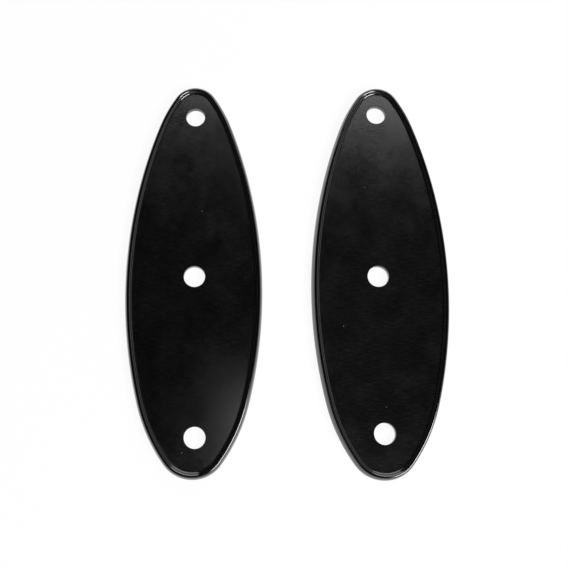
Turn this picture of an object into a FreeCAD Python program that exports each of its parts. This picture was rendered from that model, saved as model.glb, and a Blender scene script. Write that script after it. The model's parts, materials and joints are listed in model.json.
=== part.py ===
"""A pair of oval guard plates: two one-piece black mouldings that lie side by side.

Each plate is a long egg-shaped tray. A flat web carries three plain holes in a line,
and a low lip with a rounded top runs all the way round it. Outside the lip the wall
swells out to the foot. Inside it a slope and a cove run down into the flat face.

Frame: millimetres, +Z up off the flat underside, +Y towards the pointed noses. The
origin is the middle of the pair's box, on the underside plane.
"""

import FreeCAD
import Part

import math
import os

# Outline of one plate at its foot, measured from its widest line.
PLATE_WIDTH = 42.8
NOSE_REACH = 67.0
TAIL_REACH = 57.9
NOSE_RADIUS = 7.8
TAIL_RADIUS = 10.8

# Where the flank, shoulder and end arcs meet, as eccentric angles of the oval.
NOSE_TURNS_DEG = (49.8, 65.5)
TAIL_TURNS_DEG = (33.3, 62.8)

# Section through the edge. The lip rises from the face, which is the web's top, and its
# middle stands in from the foot. Its inside slopes down to the cove at the face.
WEB_THICKNESS = 2.0
LIP_RISE = 1.0
LIP_RADIUS = 0.4
LIP_INSET = 1.4
INNER_SLOPE_DEG = 45.0
COVE_RADIUS = 0.6

# Three through holes, from the nose to the tail.
HOLE_DIAMETERS = (6.0, 6.6, 6.6)

# Hole centres of each plate: how far off the long axis, and how far in from the nose's
# tip, up from the widest line and in from the tail's tip. They were drilled plate by
# plate, so the pair differs by about a millimetre.
LEFT_HOLES = ((0.1, 10.4), (0.2, 4.4), (0.7, 12.6))
RIGHT_HOLES = ((-0.1, 9.3), (-0.7, 4.7), (0.1, 14.0))

# The two plates lie this far apart, from long axis to long axis.
PAIR_SPACING = 58.0

UP = FreeCAD.Vector(0, 0, 1)
ORIGIN = FreeCAD.Vector(0, 0, 0)

# The flat face starts this far in from the foot. The run of the inner slope is measured
# between its corners before the lip and the cove round them off.
SLOPE_RUN = LIP_RISE / math.tan(math.radians(INNER_SLOPE_DEG))
ROUNDED_OFF = (LIP_RADIUS + COVE_RADIUS) * math.tan(math.radians(INNER_SLOPE_DEG) / 2)
FACE_INSET = LIP_INSET + SLOPE_RUN + ROUNDED_OFF


def end_arcs(reach, end_radius, turns_deg):
    """Centre, radius, start and end angle of the three tangent arcs from flank to tip."""
    half_width = PLATE_WIDTH / 2
    slimness = half_width / reach
    first, second = [math.atan(slimness * math.tan(math.radians(t))) for t in turns_deg]
    # The arcs' widths add up to the half width and their lengths to the reach. That
    # gives two linear equations for the flank radius and the shoulder radius.
    width_left = half_width - end_radius * math.cos(second)
    reach_left = reach - end_radius * (1 - math.sin(second))
    flank_width = 1 - math.cos(first)
    flank_reach = math.sin(first)
    shoulder_width = math.cos(first) - math.cos(second)
    shoulder_reach = math.sin(second) - math.sin(first)
    scale = flank_width * shoulder_reach - flank_reach * shoulder_width
    flank = (width_left * shoulder_reach - reach_left * shoulder_width) / scale
    shoulder = (flank_width * reach_left - flank_reach * width_left) / scale
    flank_x = half_width - flank
    shoulder_x = flank_x + (flank - shoulder) * math.cos(first)
    shoulder_y = (flank - shoulder) * math.sin(first)
    return [
        (FreeCAD.Vector(flank_x, 0, 0), flank, 0, first),
        (FreeCAD.Vector(shoulder_x, shoulder_y, 0), shoulder, first, second),
        (FreeCAD.Vector(0, reach - end_radius, 0), end_radius, second, math.pi / 2),
    ]


def section_arc(centre, radius, start_deg, end_deg):
    """An arc of the edge's section, which lies in the XZ plane."""
    points = []
    for angle in (start_deg, (start_deg + end_deg) / 2, end_deg):
        across = radius * math.cos(math.radians(angle))
        up = radius * math.sin(math.radians(angle))
        points.append(centre + FreeCAD.Vector(across, 0, up))
    return Part.Arc(*points).toShape()


def edge_section(outline_radius):
    """Section through the edge where the outline has this radius about the Z axis."""
    foot = FreeCAD.Vector(outline_radius, 0, 0)
    lip_up = WEB_THICKNESS + LIP_RISE - LIP_RADIUS
    # The wall is one arc, upright at the foot and tangent to the round of the lip.
    spread = LIP_INSET - LIP_RADIUS
    wall_radius = (LIP_INSET**2 + lip_up**2 - LIP_RADIUS**2) / (2 * spread)
    wall_deg = math.degrees(math.atan2(lip_up, wall_radius - LIP_INSET))

    wall_centre = foot - FreeCAD.Vector(wall_radius, 0, 0)
    lip_centre = foot + FreeCAD.Vector(-LIP_INSET, 0, lip_up)
    cove_centre = foot + FreeCAD.Vector(-FACE_INSET, 0, WEB_THICKNESS + COVE_RADIUS)
    wall = section_arc(wall_centre, wall_radius, 0, wall_deg)
    lip = section_arc(lip_centre, LIP_RADIUS, wall_deg, 90 + INNER_SLOPE_DEG)
    cove = section_arc(cove_centre, COVE_RADIUS, INNER_SLOPE_DEG - 90, -90)
    slope = Part.LineSegment(lip.Vertexes[-1].Point, cove.Vertexes[0].Point).toShape()

    web_corner = foot - FreeCAD.Vector(FACE_INSET, 0, 0)
    underside = Part.LineSegment(web_corner, foot).toShape()
    web_side = Part.LineSegment(web_corner + UP * WEB_THICKNESS, web_corner).toShape()
    edges = [underside, wall, lip, slope, cove, web_side]
    return Part.Face(Part.Wire(Part.__sortEdges__(edges)))


def quarter_edge(arcs):
    """The swept edge of one quarter of the plate: +X side, from the widest line to a tip."""
    stretches = []
    for centre, radius, start, end in arcs:
        face = edge_section(radius)
        face.rotate(ORIGIN, UP, math.degrees(start))
        face.translate(centre)
        stretches.append(face.revolve(centre, UP, math.degrees(end - start)))
    return stretches


def web_outline(nose, tail):
    """The outline of the web inside the lip and its cove, at the underside."""
    edges = []
    for arcs, along in ((nose, 1), (tail, -1)):
        for across in (1, -1):
            for centre, radius, start, end in arcs:
                points = []
                for angle in (start, (start + end) / 2, end):
                    x = centre.x + (radius - FACE_INSET) * math.cos(angle)
                    y = centre.y + (radius - FACE_INSET) * math.sin(angle)
                    points.append(FreeCAD.Vector(across * x, along * y, 0))
                edges.append(Part.Arc(*points).toShape())
    return Part.Wire(Part.__sortEdges__(edges))


def blank_plate():
    """One plate before drilling: the web, with the swept edge fused round it."""
    nose = end_arcs(NOSE_REACH, NOSE_RADIUS, NOSE_TURNS_DEG)
    tail = end_arcs(TAIL_REACH, TAIL_RADIUS, TAIL_TURNS_DEG)
    web = Part.Face(web_outline(nose, tail)).extrude(UP * WEB_THICKNESS)
    across = FreeCAD.Vector(1, 0, 0)
    along = FreeCAD.Vector(0, 1, 0)
    right_side = quarter_edge(nose) + [s.mirror(ORIGIN, along) for s in quarter_edge(tail)]
    left_side = [s.mirror(ORIGIN, across) for s in right_side]
    return web.multiFuse(right_side + left_side).removeSplitter()


def guard_plate(blank, holes):
    """One finished plate, drilled right through the web."""
    (nose_x, from_nose), (middle_x, middle_y), (tail_x, from_tail) = holes
    nose_hole = (nose_x, NOSE_REACH - from_nose)
    tail_hole = (tail_x, from_tail - TAIL_REACH)
    plate = blank
    for (x, y), diameter in zip((nose_hole, (middle_x, middle_y), tail_hole), HOLE_DIAMETERS):
        below = FreeCAD.Vector(x, y, -WEB_THICKNESS)
        plate = plate.cut(Part.makeCylinder(diameter / 2, 3 * WEB_THICKNESS, below, UP))
    return plate


def main():
    os.makedirs("parts", exist_ok=True)
    blank = blank_plate()
    box_middle = (NOSE_REACH - TAIL_REACH) / 2
    for node, side, holes in (
        ("left_guard_plate", -1, LEFT_HOLES),
        ("right_guard_plate", 1, RIGHT_HOLES),
    ):
        plate = guard_plate(blank, holes)
        plate.translate(FreeCAD.Vector(side * PAIR_SPACING / 2, -box_middle, 0))
        solid = plate.Solids[0]
        print(node, "valid", solid.isValid(), "volume %.1f mm3" % solid.Volume)
        solid.exportStep("parts/" + node + ".step")


main()
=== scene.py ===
"""Dresses the pair of oval guard plates: two one-piece black plastic mouldings.

Metres, +Z up off the table, +Y towards the pointed noses. Each plate is a flat tray with
a rounded lip all round it and three plain drilled holes. They lie side by side.
"""

import json
import math

import bpy
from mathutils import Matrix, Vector


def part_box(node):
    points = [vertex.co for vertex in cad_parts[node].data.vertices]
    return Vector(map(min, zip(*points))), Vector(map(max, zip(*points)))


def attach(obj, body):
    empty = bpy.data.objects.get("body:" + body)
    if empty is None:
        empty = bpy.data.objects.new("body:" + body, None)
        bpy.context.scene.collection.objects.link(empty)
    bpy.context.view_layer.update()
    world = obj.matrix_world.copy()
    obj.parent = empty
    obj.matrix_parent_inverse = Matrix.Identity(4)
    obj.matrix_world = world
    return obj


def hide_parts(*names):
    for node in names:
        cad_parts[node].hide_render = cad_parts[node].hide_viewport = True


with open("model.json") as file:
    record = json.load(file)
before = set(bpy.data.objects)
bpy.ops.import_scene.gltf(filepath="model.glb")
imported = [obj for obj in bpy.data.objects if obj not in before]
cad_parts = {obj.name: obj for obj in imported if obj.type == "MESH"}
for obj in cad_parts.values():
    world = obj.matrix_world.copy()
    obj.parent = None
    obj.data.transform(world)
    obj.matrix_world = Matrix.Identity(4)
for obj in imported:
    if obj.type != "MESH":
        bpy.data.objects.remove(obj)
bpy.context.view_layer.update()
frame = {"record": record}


# ---------------------------------------------------------------------- camera
# A camera held 23 cm above the table, over the tails and a little to the left. It looks
# almost straight down, so both plates show whole from above.

camera_place = (-0.01962, -0.05425, 0.22928)
camera_turn = (0.144, -0.001, 0.004)
camera_lens_mm = 47.535
camera_sensor_mm = 36.0
lens_shift = 0.1056
nearest_seen = 0.01

bpy.ops.object.camera_add(location=camera_place, rotation=camera_turn)
camera = bpy.context.object
camera.data.sensor_width = camera_sensor_mm
camera.data.lens = camera_lens_mm
camera.data.shift_x = lens_shift
camera.data.shift_y = lens_shift
camera.data.clip_start = nearest_seen
bpy.context.scene.camera = camera


# ---------------------------------------------------------------- undrilled plate
# The moulding as it leaves the tool, before it is drilled: a flat web with an upturned
# lip. The lip's section is swept round the egg-shaped outline, arc by arc.

mm = 0.001

plate_low, plate_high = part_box("left_guard_plate")
half_width = (plate_high.x - plate_low.x) / 2
tail_reach = 57.9 * mm
nose_trim = 0.2 * mm
nose_reach = plate_high.y - plate_low.y - tail_reach - nose_trim
nose_radius = 7.8 * mm
tail_radius = 10.8 * mm
nose_turns_deg = (49.8, 65.5)
tail_turns_deg = (33.3, 62.8)

lip_height = plate_high.z
web_thickness = 2.0 * mm
lip_radius = 0.6 * mm
lip_inset = 1.2 * mm
inner_slope = math.radians(60)
cove_radius = 0.55 * mm

# How finely the rounds and the sweep are divided, and how near counts as touching.
cove_steps = 7
lip_inner_steps = 5
lip_outer_steps = 5
wall_steps = 9
longest_step = 1.3 * mm
widest_turn = math.radians(4)
weld = 0.002 * mm
same_height = 0.001 * mm
same_place = 0.02 * mm
flat_margin = 0.3 * mm


def end_arcs(reach, end_radius, turns_deg):
    """Centre, radius and angle of the three tangent arcs from the flank to a tip."""
    slimness = half_width / reach
    first, second = [math.atan(slimness * math.tan(math.radians(t))) for t in turns_deg]
    # The arcs' widths add up to the half width and their lengths to the reach. That
    # gives two linear equations for the flank radius and the shoulder radius.
    width_left = half_width - end_radius * math.cos(second)
    reach_left = reach - end_radius * (1 - math.sin(second))
    flank_width = 1 - math.cos(first)
    flank_reach = math.sin(first)
    shoulder_width = math.cos(first) - math.cos(second)
    shoulder_reach = math.sin(second) - math.sin(first)
    scale = flank_width * shoulder_reach - flank_reach * shoulder_width
    flank = (width_left * shoulder_reach - reach_left * shoulder_width) / scale
    shoulder = (flank_width * reach_left - flank_reach * width_left) / scale
    flank_x = half_width - flank
    shoulder_x = flank_x + (flank - shoulder) * math.cos(first)
    shoulder_y = (flank - shoulder) * math.sin(first)
    return [
        (flank_x, 0, flank, first),
        (shoulder_x, shoulder_y, shoulder, second - first),
        (0, reach - end_radius, end_radius, math.pi / 2 - second),
    ]


def select_verts(mesh, wanted):
    """Selects only the points that the test picks, and leaves edit mode on."""
    bpy.ops.object.mode_set(mode="EDIT")
    bpy.ops.mesh.select_all(action="DESELECT")
    bpy.ops.object.mode_set(mode="OBJECT")
    for vert in mesh.vertices:
        vert.select = wanted(vert.co)
    bpy.ops.object.mode_set(mode="EDIT")
    bpy.ops.mesh.select_mode(type="VERT")


def round_corner(mesh, corner, setback, steps):
    """Rounds one corner of the lip's section, by this far back along both its sides."""
    # Just short of the full setback, so that two rounds that meet stay apart.
    just_short = 0.999
    x, z = corner
    select_verts(mesh, lambda p: math.hypot(p.x - x, p.z - z) < same_place)
    bpy.ops.mesh.bevel(offset=setback * just_short, segments=steps, affect="VERTICES")


def extrude_to(start, end):
    """Draws one more side of the section from a free end."""
    move = (end[0] - start[0], 0, end[1] - start[1])
    bpy.ops.mesh.extrude_region_move(TRANSFORM_OT_translate={"value": move})


# The wall is one arc, upright at the foot and tangent to the round of the lip. Inside
# the lip a slope runs down to the cove at the face.
lip_up = lip_height - lip_radius
wall_radius = (lip_inset**2 + lip_up**2 - lip_radius**2) / (2 * (lip_inset - lip_radius))
wall_turn = math.atan2(lip_up, wall_radius - lip_inset)
wall_setback = wall_radius * math.tan(wall_turn / 2)
lip_setback = lip_radius * math.tan((math.pi / 2 - wall_turn) / 2)
inner_setback = lip_radius * math.tan(inner_slope / 2)
cove_setback = cove_radius * math.tan(inner_slope / 2)
slope_top = half_width - lip_inset - inner_setback
slope_foot = slope_top - (lip_height - web_thickness) / math.tan(inner_slope)
face_x = slope_foot - cove_setback

# Corners of the section before they are rounded, from the tray to the underside.
tray_edge = (face_x, web_thickness)
lip_root = (slope_foot, web_thickness)
lip_inside = (slope_top, lip_height)
lip_outside = (half_width - lip_inset + lip_setback, lip_height)
wall_corner = (half_width, wall_setback)
foot = (half_width, 0)
under_edge = (face_x, 0)

bpy.ops.object.select_all(action="DESELECT")
bpy.ops.mesh.primitive_plane_add(size=1)
blank = bpy.context.object
blank.name = "undrilled_plate"
section = blank.data
for vert, (x, z) in zip(section.vertices, (lip_root, wall_corner, lip_inside, lip_outside)):
    vert.co = (x, 0, z)

# The tray's side of the section is open: only the lip's outline is swept.
bpy.ops.object.mode_set(mode="EDIT")
bpy.ops.mesh.select_all(action="SELECT")
bpy.ops.mesh.delete(type="ONLY_FACE")
select_verts(section, lambda p: p.z < (lip_height + web_thickness) / 2)
bpy.ops.mesh.select_mode(type="EDGE")
bpy.ops.mesh.delete(type="EDGE")
select_verts(section, lambda p: p.x < slope_top and p.z < lip_up)
extrude_to(lip_root, tray_edge)
select_verts(section, lambda p: p.x > half_width - weld)
extrude_to(wall_corner, foot)
extrude_to(foot, under_edge)
round_corner(section, lip_root, cove_setback, cove_steps)
round_corner(section, lip_inside, inner_setback, lip_inner_steps)
round_corner(section, lip_outside, lip_setback, lip_outer_steps)
round_corner(section, wall_corner, wall_setback, wall_steps)

# Once round the plate, from the widest line on the right over the nose and the tail.
nose = end_arcs(nose_reach, nose_radius, nose_turns_deg)
tail = end_arcs(tail_reach, tail_radius, tail_turns_deg)
sweep = [(x, y, r, a) for x, y, r, a in nose]
sweep += [(-x, y, r, a) for x, y, r, a in reversed(nose)]
sweep += [(-x, -y, r, a) for x, y, r, a in tail]
sweep += [(x, -y, r, a) for x, y, r, a in reversed(tail)]
bpy.ops.mesh.select_all(action="SELECT")
for x, y, radius, angle in sweep:
    steps = math.ceil(max(radius * angle / longest_step, angle / widest_turn))
    bpy.ops.mesh.spin(steps=steps, angle=-angle, center=(x, y, 0), axis=(0, 0, 1))
bpy.ops.mesh.select_all(action="SELECT")
bpy.ops.mesh.remove_doubles(threshold=weld)
bpy.ops.object.mode_set(mode="OBJECT")


def level_edge(mesh, edge, height):
    """Whether both ends of an edge lie at this height."""
    return all(abs(mesh.vertices[v].co.z - height) < same_height for v in edge.vertices)


def select_ring(mesh, height):
    """Selects the open ring of edges at one height, where the flat web goes."""
    bpy.ops.object.mode_set(mode="EDIT")
    bpy.ops.mesh.select_mode(type="EDGE")
    bpy.ops.mesh.select_all(action="DESELECT")
    bpy.ops.mesh.select_non_manifold(
        extend=False, use_boundary=True, use_wire=False,
        use_multi_face=False, use_non_contiguous=False, use_verts=False,
    )
    bpy.ops.object.mode_set(mode="OBJECT")
    for edge in mesh.edges:
        edge.select = edge.select and level_edge(mesh, edge, height)
    bpy.ops.object.mode_set(mode="EDIT")


# The web's face and underside close the sweep. A narrow inset keeps each of them flat.
for height in (web_thickness, 0):
    select_ring(section, height)
    bpy.ops.mesh.edge_face_add()
    bpy.ops.mesh.inset(thickness=flat_margin)
bpy.ops.mesh.select_all(action="SELECT")
bpy.ops.mesh.normals_make_consistent(inside=False)
bpy.ops.object.mode_set(mode="OBJECT")


# ---------------------------------------------------------------- black moulding
# One black thermoplastic, moulded in one piece. The tray is satin from the tool, with
# soft flow mottling, fine wipe marks and a little dust. The lip and wall are glossier.

moulding_black = (0.0012, 0.0012, 0.0014)
moulding_ior = 1.8
dust_grey = (0.16, 0.16, 0.17)
tray_roughness = 0.175
lip_roughness = 0.12
dust_roughness = 0.85

# Patterns are measured in millimetres on the plate. Their mean is about one half.
per_metre = 1000
pattern_low = 0.3
pattern_high = 0.7
mottle_share = 0.035
wipe_share = 0.05
wipe_height = 0.16
grain_height = 0.18
haze_share = 0.016


def add_node(tree, kind, **settings):
    """One shader node, with its settings and its plain input values."""
    made = tree.nodes.new("ShaderNode" + kind)
    for name, value in settings.items():
        if name in made.bl_rna.properties:
            setattr(made, name, value)
        else:
            made.inputs[name.replace("_", " ")].default_value = value
    return made


def feed(source, target, socket):
    """Joins an output socket to a socket of another node."""
    target.id_data.links.new(source, target.inputs[socket])


def add_maths(tree, operation, first, second):
    """Puts two outputs through one step of arithmetic, and returns the result."""
    made = add_node(tree, "Math", operation=operation)
    feed(first, made, 0)
    feed(second, made, 1)
    return made.outputs["Value"]


def remap(tree, source, **limits):
    """Carries an output from one range of values to another, and returns the result."""
    made = add_node(tree, "MapRange", **limits)
    feed(source, made, "Value")
    return made.outputs["Result"]


black = bpy.data.materials.new("black_moulding")
black.use_nodes = True
black_tree = black.node_tree
shader = black_tree.nodes["Principled BSDF"]
shader.inputs["IOR"].default_value = moulding_ior

place = add_node(black_tree, "TexCoord")
in_mm = add_node(black_tree, "Mapping", Scale=(per_metre, per_metre, per_metre))
feed(place.outputs["Object"], in_mm, "Vector")

mottle = add_node(black_tree, "TexNoise", Scale=0.11, Detail=4.0, Roughness=0.55)
feed(in_mm.outputs["Vector"], mottle, "Vector")

# Fine marks that run across the plate, from wiping and packing.
across = add_node(black_tree, "Mapping", Scale=(0.35, 5.0, 1.0))
feed(in_mm.outputs["Vector"], across, "Vector")
wipes = add_node(black_tree, "TexNoise", Scale=1.0, Detail=5.0, Roughness=0.6)
feed(across.outputs["Vector"], wipes, "Vector")

grain = add_node(black_tree, "TexNoise", Scale=3.2, Detail=3.0, Roughness=0.6)
feed(in_mm.outputs["Vector"], grain, "Vector")

# The lip is what stands above the tray, and the wall is what doesn't face up or down.
lip_starts = web_thickness + 0.02 * mm
lip_proper = web_thickness + 0.25 * mm
position = add_node(black_tree, "SeparateXYZ")
feed(place.outputs["Object"], position, "Vector")
raised = remap(black_tree, position.outputs["Z"], From_Min=lip_starts, From_Max=lip_proper)
facing = add_node(black_tree, "SeparateXYZ")
feed(place.outputs["Normal"], facing, "Vector")
level = add_node(black_tree, "Math", operation="ABSOLUTE")
feed(facing.outputs["Z"], level, 0)
sloped = remap(black_tree, level.outputs["Value"], From_Min=0.97, From_Max=0.85)
on_lip = add_maths(black_tree, "MAXIMUM", raised, sloped)

# Roughness of the bare moulding.
base = remap(black_tree, on_lip, To_Min=tray_roughness, To_Max=lip_roughness)
mottling = remap(
    black_tree, mottle.outputs["Fac"],
    From_Min=pattern_low, From_Max=pattern_high, To_Min=-mottle_share, To_Max=mottle_share,
)
wiping = remap(
    black_tree, wipes.outputs["Fac"],
    From_Min=pattern_low, From_Max=pattern_high, To_Min=-wipe_share, To_Max=wipe_share,
)
mottled = add_maths(black_tree, "ADD", base, mottling)
wiped = add_maths(black_tree, "ADD", mottled, wiping)

# Dust: in about one cell out of four there is a speck, some 0.3 mm across.
cells = add_node(black_tree, "TexVoronoi", Scale=0.16, Randomness=1.0)
feed(in_mm.outputs["Vector"], cells, "Vector")
speck = remap(black_tree, cells.outputs["Distance"], From_Min=0.030, From_Max=0.018)
cell_lot = add_node(black_tree, "SeparateColor")
feed(cells.outputs["Color"], cell_lot, "Color")
dusty_cell = remap(black_tree, cell_lot.outputs["Red"], From_Min=0.72, From_Max=0.76)
dust = add_maths(black_tree, "MULTIPLY", speck, dusty_cell)

# A faint grey haze lies along the wipes.
haze = remap(
    black_tree, wipes.outputs["Fac"], From_Min=0.46, From_Max=0.72, To_Min=0.0, To_Max=haze_share
)
soiled = add_maths(black_tree, "MAXIMUM", haze, dust)

# A colour mix takes its two colours and gives its result at these sockets.
clean_socket, soiled_socket, result_socket = 6, 7, 2
colour = add_node(black_tree, "Mix", data_type="RGBA")
colour.inputs[clean_socket].default_value = (*moulding_black, 1)
colour.inputs[soiled_socket].default_value = (*dust_grey, 1)
feed(soiled, colour, 0)
feed(colour.outputs[result_socket], shader, "Base Color")

dust_matt = add_node(black_tree, "Math", operation="MULTIPLY")
dust_matt.inputs[1].default_value = dust_roughness
feed(dust, dust_matt, 0)
feed(add_maths(black_tree, "MAXIMUM", wiped, dust_matt.outputs["Value"]), shader, "Roughness")

grain_bump = add_node(black_tree, "Bump", Strength=grain_height, Distance=0.02 * mm)
feed(grain.outputs["Fac"], grain_bump, "Height")
wipe_bump = add_node(black_tree, "Bump", Distance=0.03 * mm)
feed(wipes.outputs["Fac"], wipe_bump, "Height")
feed(grain_bump.outputs["Normal"], wipe_bump, "Normal")
feed(remap(black_tree, on_lip, To_Min=wipe_height, To_Max=0.0), wipe_bump, "Strength")
feed(wipe_bump.outputs["Normal"], shader, "Normal")


# ---------------------------------------------------------------- finished plates
# Each plate is the same moulding, drilled by hand with a plain bit and broken at the
# rims. The holes wander a little from the middle line, so no two plates quite match.

rim_break = 0.12 * mm
rim_steps = 2
bit_sides = 64
smooth_up_to = math.radians(35)

holes = {"left": [], "right": []}
for mount in frame["record"]["mounts"]:
    if mount["kind"] == "bore":
        side = mount["name"].split("_")[0]
        x, y, _ = mount["pos_m"]
        holes[side].append((x, y, mount["dims"]["r_mm"] * mm))


def only_select(piece):
    """Selects one piece alone and makes it the one that operators work on."""
    bpy.ops.object.select_all(action="DESELECT")
    piece.select_set(True)
    bpy.context.view_layer.objects.active = piece


def drill(plate, x, y, radius):
    """Drills one hole right through and breaks its two rims."""
    bpy.ops.object.select_all(action="DESELECT")
    bpy.ops.mesh.primitive_cylinder_add(
        vertices=bit_sides, radius=radius, depth=4 * web_thickness, location=(x, y, web_thickness / 2)
    )
    bit = bpy.context.object
    bpy.context.view_layer.objects.active = plate
    cut = plate.modifiers.new("drill", "BOOLEAN")
    cut.operation = "DIFFERENCE"
    cut.solver = "EXACT"
    cut.object = bit
    bpy.ops.object.modifier_apply(modifier="drill")
    bpy.data.objects.remove(bit)
    mesh = plate.data
    select_verts(mesh, lambda p: abs(math.hypot(p.x - x, p.y - y) - radius) < same_place)
    bpy.ops.object.mode_set(mode="OBJECT")
    for edge in mesh.edges:
        on_rim = all(mesh.vertices[v].select for v in edge.vertices)
        edge.select = on_rim and level_edge(mesh, edge, mesh.vertices[edge.vertices[0]].co.z)
    bpy.ops.object.mode_set(mode="EDIT")
    bpy.ops.mesh.select_mode(type="EDGE")
    bpy.ops.mesh.bevel(offset=rim_break, segments=rim_steps, affect="EDGES")
    bpy.ops.object.mode_set(mode="OBJECT")


for side, node in (("left", "left_guard_plate"), ("right", "right_guard_plate")):
    low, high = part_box(node)
    plate = blank.copy()
    plate.data = blank.data.copy()
    plate.name = side + "_plate_moulding"
    bpy.context.collection.objects.link(plate)
    only_select(plate)
    plate.location = ((low.x + high.x) / 2, low.y + tail_reach, 0)
    bpy.ops.object.transform_apply(location=True, rotation=False, scale=False)
    for x, y, radius in holes[side]:
        drill(plate, x, y, radius)
    only_select(plate)
    bpy.ops.object.shade_smooth_by_angle(angle=smooth_up_to)
    even = plate.modifiers.new("even_shading", "WEIGHTED_NORMAL")
    even.keep_sharp = True
    bpy.ops.object.modifier_apply(modifier="even_shading")
    plate.data.materials.clear()
    plate.data.materials.append(black)
    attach(plate, "root")
    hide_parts(node)
bpy.data.objects.remove(blank)


# ---------------------------------------------------------------- table
# A plain white table, which the plates lie on. The camera, gloss and glass see most of it
# as an even white, and the rest is matt paint that takes the plates' shadow.

table_size = 6
table_white = 0.9
table_roughness = 0.8
even_white_share = 0.93

bpy.ops.mesh.primitive_plane_add(size=table_size)
table = bpy.context.object
table.name = "table"
white = bpy.data.materials.new("white_table")
white.use_nodes = True
white_tree = white.node_tree
matt = white_tree.nodes["Principled BSDF"]
matt.inputs["Base Color"].default_value = (table_white, table_white, table_white, 1)
matt.inputs["Roughness"].default_value = table_roughness
even_white = add_node(white_tree, "Emission", Strength=1.0)
ray = add_node(white_tree, "LightPath").outputs
seen = add_maths(white_tree, "MAXIMUM", ray["Is Camera Ray"], ray["Is Glossy Ray"])
seen = add_maths(white_tree, "MAXIMUM", seen, ray["Is Transmission Ray"])
share = add_node(white_tree, "Math", operation="MULTIPLY")
share.inputs[1].default_value = even_white_share
feed(seen, share, 0)
blend = add_node(white_tree, "MixShader")
feed(share.outputs["Value"], blend, 0)
feed(matt.outputs["BSDF"], blend, 1)
feed(even_white.outputs["Emission"], blend, 2)
feed(blend.outputs["Shader"], white_tree.nodes["Material Output"], "Surface")
table.data.materials.append(white)


# ---------------------------------------------------------------- light
# A tall window beyond the noses, a lamp over the right of the tails and a faint glow
# overhead. The room is pale low down, and dims overhead and towards its left side.

def softbox(name, place, aim, width, height, watts):
    """An area light of width x height metres at a place, turned towards its aim."""
    bpy.ops.object.light_add(type="AREA", location=place)
    box = bpy.context.object
    box.name = name
    box.data.shape = "RECTANGLE"
    box.data.size = width
    box.data.size_y = height
    box.data.energy = watts
    box.visible_camera = False
    towards = Vector(aim) - Vector(place)
    box.rotation_euler = towards.to_track_quat("-Z", "Y").to_euler()


softbox("window", place=(0.22, 1.10, 1.04), aim=(0, 0, 1.04), width=1.20, height=2.08, watts=15.5)
softbox("lamp", place=(0.56, -0.40, 0.63), aim=(0, 0, 0), width=0.62, height=0.34, watts=11.0)
softbox(
    "overhead_glow", place=(0.014, -0.080, 0.60), aim=(0.014, -0.080, 0),
    width=0.05, height=0.19, watts=0.040,
)

wall_white = 1.0
ceiling_grey = 0.03
left_grey = 0.15

world = bpy.data.worlds.new("room")
bpy.context.scene.world = world
world.use_nodes = True
room_tree = world.node_tree
backdrop = room_tree.nodes["Background"]
backdrop.inputs["Color"].default_value = (1, 1, 1, 1)
direction = add_node(room_tree, "SeparateXYZ")
feed(add_node(room_tree, "TexCoord").outputs["Generated"], direction, "Vector")
upwards = remap(
    room_tree, direction.outputs["Z"], interpolation_type="SMOOTHSTEP",
    From_Min=0.20, From_Max=0.50, To_Min=wall_white, To_Max=ceiling_grey,
)
sideways = remap(
    room_tree, direction.outputs["X"], interpolation_type="SMOOTHSTEP",
    From_Min=-0.4, From_Max=0.8, To_Min=left_grey, To_Max=wall_white,
)
walls = add_maths(room_tree, "MULTIPLY", upwards, sideways)
straight_look = add_node(room_tree, "LightPath").outputs["Is Camera Ray"]
feed(add_maths(room_tree, "MAXIMUM", walls, straight_look), backdrop, "Strength")

bpy.context.scene.view_settings.view_transform = "Standard"
